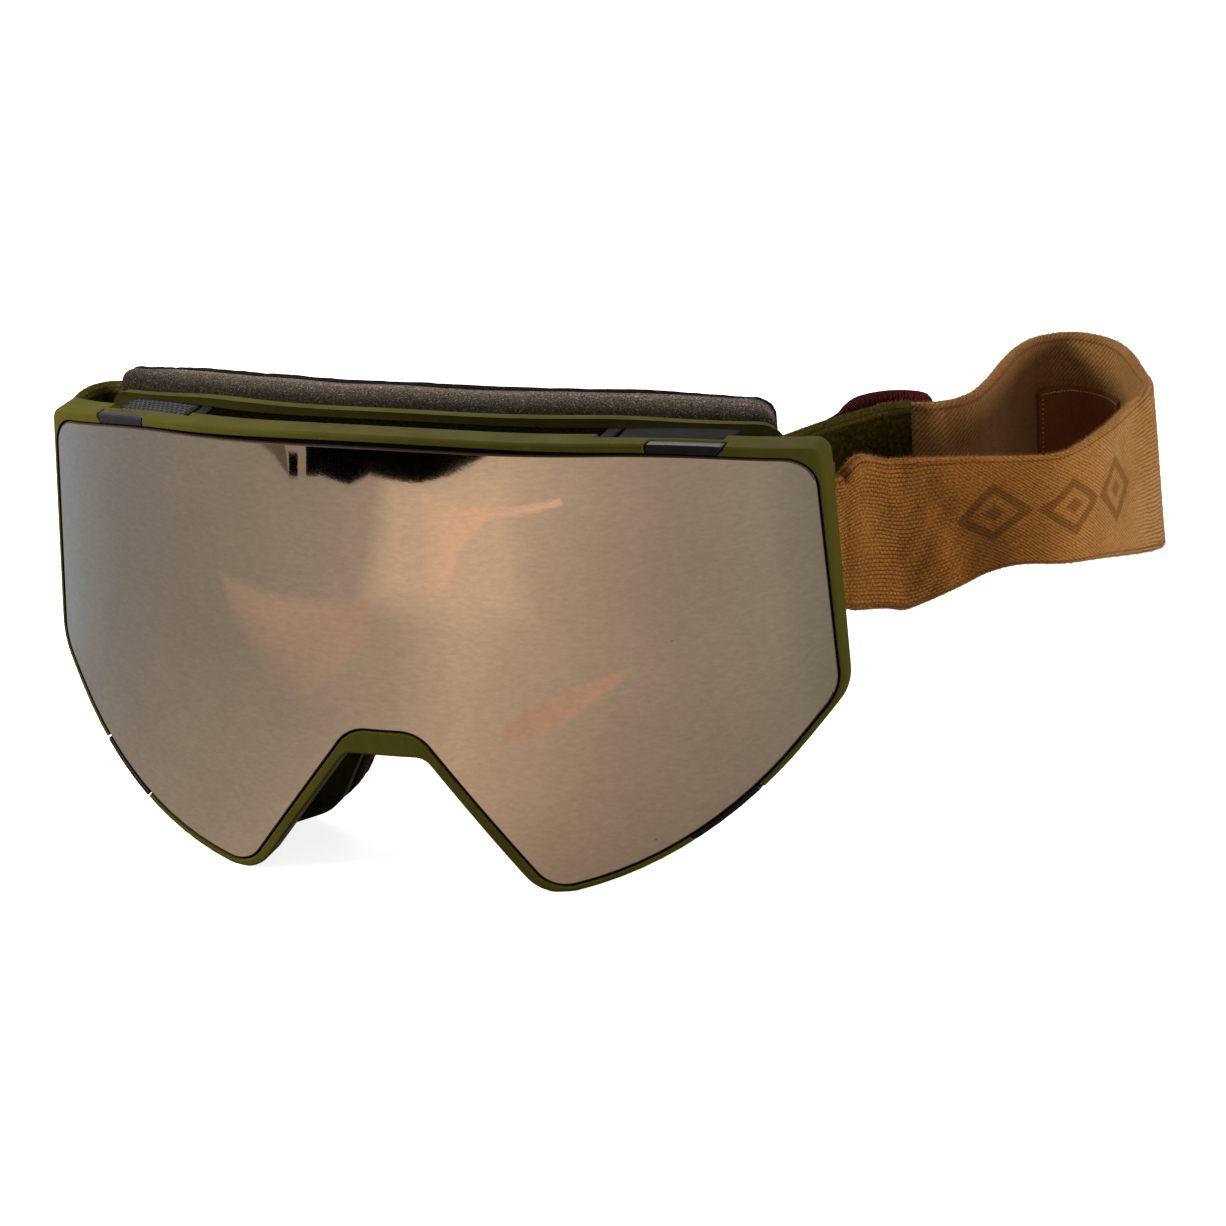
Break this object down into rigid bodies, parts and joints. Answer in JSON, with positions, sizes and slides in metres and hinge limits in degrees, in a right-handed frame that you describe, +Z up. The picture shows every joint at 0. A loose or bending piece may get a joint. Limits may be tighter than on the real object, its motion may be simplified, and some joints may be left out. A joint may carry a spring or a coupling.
{
  "type": "snow goggles",
  "caption": "Frameless-look snow goggles: curved mirrored lens on magnets in an olive frame, layered face foam, and an elastic strap with an adjuster.",
  "frame": {"origin": "middle of the flat underside of the frame's nose bridge, on the centre plane", "axes": "+X to the right as seen from the front (the wearer's left), +Y backwards towards the wearer, +Z up; left and right in node names are as seen from the front"},
  "size_m": [0.2364, 0.1622, 0.099],
  "materials": {
    "frame_olive": "soft matte moulded urethane",
    "vent_plastic": "matte, one plate dimpled",
    "vent_foam": "open-cell foam",
    "face_foam": "open-cell foam",
    "fleece": "brushed fleece",
    "steel": "plain",
    "strap_olive": "velvety knitted elastic",
    "strap_tan": "ribbed knitted elastic",
    "patch": "woven",
    "webbing": "ribbed elastic webbing",
    "slider_plastic": "satin",
    "mirror_lens": "mirror coated polycarbonate",
    "clear_lens": "clear anti-fog cellulose",
    "carrier_black": "satin",
    "magnet_nickel": "nickel plated",
    "tab_plastic": "matte"
  },
  "bodies": {
    "frame": {"frame_rim": "frame_olive", "face_frame": "frame_olive", "vent_plate_left": "vent_plastic", "vent_plate_right": "vent_plastic", "vent_tile_left": "vent_plastic", "vent_tile_right": "vent_plastic", "vent_foam_top": "vent_foam", "vent_foam_low_left": "vent_foam", "vent_foam_low_right": "vent_foam", "face_foam_base": "face_foam", "face_foam_mid": "face_foam", "face_fleece": "fleece", "frame_discs": "steel", "strap_pin_left": "steel", "strap_pin_right": "steel", "strap_olive": "strap_olive", "strap_tan": "strap_tan", "strap_patch": "patch", "adjuster_webbing": "webbing"},
    "lens_unit": {"outer_lens": "mirror_lens", "inner_lens": "clear_lens", "lens_gasket": "vent_foam", "lens_carrier": "carrier_black", "lens_magnets": "magnet_nickel", "lens_tab_top_left": "tab_plastic", "lens_tab_top_right": "tab_plastic", "lens_tab_low_left": "tab_plastic", "lens_tab_low_right": "tab_plastic"},
    "slider": {"strap_slider": "slider_plastic"}
  },
  "joints": [
    {"name": "lens_release", "type": "slide", "parent": "frame", "child": "lens_unit", "axis": [0, -1, 0], "range_m": [0, 0.06]},
    {"name": "strap_adjust", "type": "slide", "parent": "frame", "child": "slider", "axis": [-0.9994, 0.035, 0], "range_m": [-0.007, 0.007]}
  ]
}
